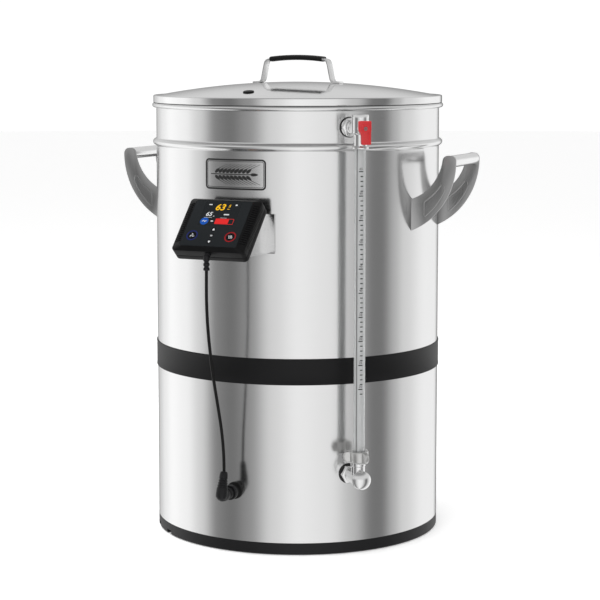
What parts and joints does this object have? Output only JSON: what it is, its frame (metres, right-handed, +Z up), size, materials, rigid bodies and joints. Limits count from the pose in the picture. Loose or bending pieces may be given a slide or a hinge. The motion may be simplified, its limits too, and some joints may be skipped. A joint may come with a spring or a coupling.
{
  "type": "electric all in one brewer",
  "caption": "Free-standing steel brewing kettle with lid, grain basket, pump, element, sight tube, carrying handles and a tilted plug-in controller.",
  "frame": {"origin": "on the floor, on the kettle's vertical axis", "axes": "+Z up; -Y is the front, with the controller; the handles are on +X and -X; the sight tube stands at 45 degrees between -Y and +X"},
  "size_m": [0.5386, 0.5114, 0.704],
  "materials": {
    "satin_steel": "satin brushed round the wall",
    "sheet_steel": "satin sheet",
    "polished_steel": "bright polished stainless",
    "cast_steel": "bead-blasted casting",
    "badge_print": "black print on the steel",
    "black_silicone": "matt moulded silicone",
    "black_rubber": "soft black rubber",
    "black_plastic": "fine moulded texture",
    "screw_steel": "plated",
    "panel_film": "dark grey membrane",
    "display_glass": "smoked window",
    "board": "solder mask",
    "key_rubber": "moulded key",
    "clear_tube": "clear tube",
    "red_enamel": "red coated lever",
    "brass_plug": "turned brass",
    "element_steel": "heat stained",
    "pump_plastic": "glass-filled plastic",
    "motor_paint": "grey coated",
    "white_plastic": "natural plastic",
    "clear_hose": "translucent silicone hose"
  },
  "bodies": {
    "brewer": {"kettle": "satin_steel", "skirt": "satin_steel", "silicone_band": "black_silicone", "base_ring": "black_plastic", "base_plate": "sheet_steel", "base_screws": "screw_steel", "rubber_pads": "black_rubber", "handle_arm_right_front": "sheet_steel", "handle_arm_right_rear": "sheet_steel", "handle_arm_left_front": "sheet_steel", "handle_arm_left_rear": "sheet_steel", "handle_grip_right": "polished_steel", "handle_grip_left": "polished_steel", "badge": "badge_print", "controller_bracket": "sheet_steel", "controller_back": "black_plastic", "controller_front": "black_plastic", "face_panel": "panel_film", "display_window": "display_glass", "circuit_board": "board", "controller_gland": "black_rubber", "controller_cord": "black_rubber", "cord_plug": "black_plastic", "plug_collar": "black_plastic", "wall_socket": "black_plastic", "sight_tube": "clear_tube", "upper_port": "polished_steel", "lower_tee": "polished_steel", "end_cap": "polished_steel", "port_seals": "black_rubber", "port_nuts": "polished_steel", "heating_element": "element_steel", "pump_filter": "satin_steel", "pump_housing": "pump_plastic", "pump_motor": "motor_paint", "pump_hose": "clear_hose", "outlet_port": "polished_steel", "outlet_cap": "black_plastic", "temperature_probe": "polished_steel", "control_box": "black_plastic", "mains_inlet": "black_plastic"},
    "basket": {"grain_basket": "satin_steel", "basket_floor": "satin_steel", "overflow_pipe": "satin_steel"},
    "lid": {"lid_shell": "satin_steel", "lid_ring": "sheet_steel", "vent_bung": "black_silicone", "lid_handle_strap": "polished_steel", "lid_handle_grip": "black_silicone"},
    "top_plate": {"top_plate": "satin_steel", "top_plate_knobs": "black_plastic"},
    "cock": {"cock_lever": "red_enamel", "cock_plug": "brass_plug"},
    "wing_nut": {"wing_nut": "cast_steel"},
    "impeller": {"pump_impeller": "white_plastic"},
    "key_up": {"key_up": "key_rubber"},
    "key_set": {"key_set": "key_rubber"},
    "key_down": {"key_down": "key_rubber"},
    "key_pump": {"key_pump": "key_rubber"},
    "key_heat": {"key_heat": "key_rubber"}
  },
  "joints": [
    {"name": "basket_lift", "type": "slide", "parent": "brewer", "child": "basket", "axis": [0, 0, 1], "range_m": [0, 0.56]},
    {"name": "lid_lift", "type": "slide", "parent": "basket", "child": "lid", "axis": [0, 0, 1], "range_m": [0, 0.25]},
    {"name": "top_plate_slide", "type": "slide", "parent": "basket", "child": "top_plate", "axis": [0, 0, 1], "range_m": [0, 0.36]},
    {"name": "cock_turn", "type": "hinge", "parent": "brewer", "child": "cock", "pos_m": [0.17678, -0.17678, 0.6046], "axis": [0.7071, -0.7071, 0], "range_deg": [0, 90]},
    {"name": "wing_nut_turn", "type": "hinge", "parent": "brewer", "child": "wing_nut", "pos_m": [0.17678, -0.17678, 0.148], "axis": [0, 0, 1], "range_deg": [0, 270]},
    {"name": "impeller_spin", "type": "hinge", "parent": "brewer", "child": "impeller", "pos_m": [0.035, 0.06062, 0.062], "axis": [0, 0, 1], "continuous": true},
    {"name": "key_up_press", "type": "slide", "parent": "brewer", "child": "key_up", "axis": [0, 0.7337, -0.6794], "range_m": [0, 0.0008], "stiffness_N_per_m": 400},
    {"name": "key_set_press", "type": "slide", "parent": "brewer", "child": "key_set", "axis": [0, 0.7337, -0.6794], "range_m": [0, 0.0008], "stiffness_N_per_m": 400},
    {"name": "key_down_press", "type": "slide", "parent": "brewer", "child": "key_down", "axis": [0, 0.7337, -0.6794], "range_m": [0, 0.0008], "stiffness_N_per_m": 400},
    {"name": "key_pump_press", "type": "slide", "parent": "brewer", "child": "key_pump", "axis": [0, 0.7337, -0.6794], "range_m": [0, 0.0008], "stiffness_N_per_m": 400},
    {"name": "key_heat_press", "type": "slide", "parent": "brewer", "child": "key_heat", "axis": [0, 0.7337, -0.6794], "range_m": [0, 0.0008], "stiffness_N_per_m": 400}
  ]
}
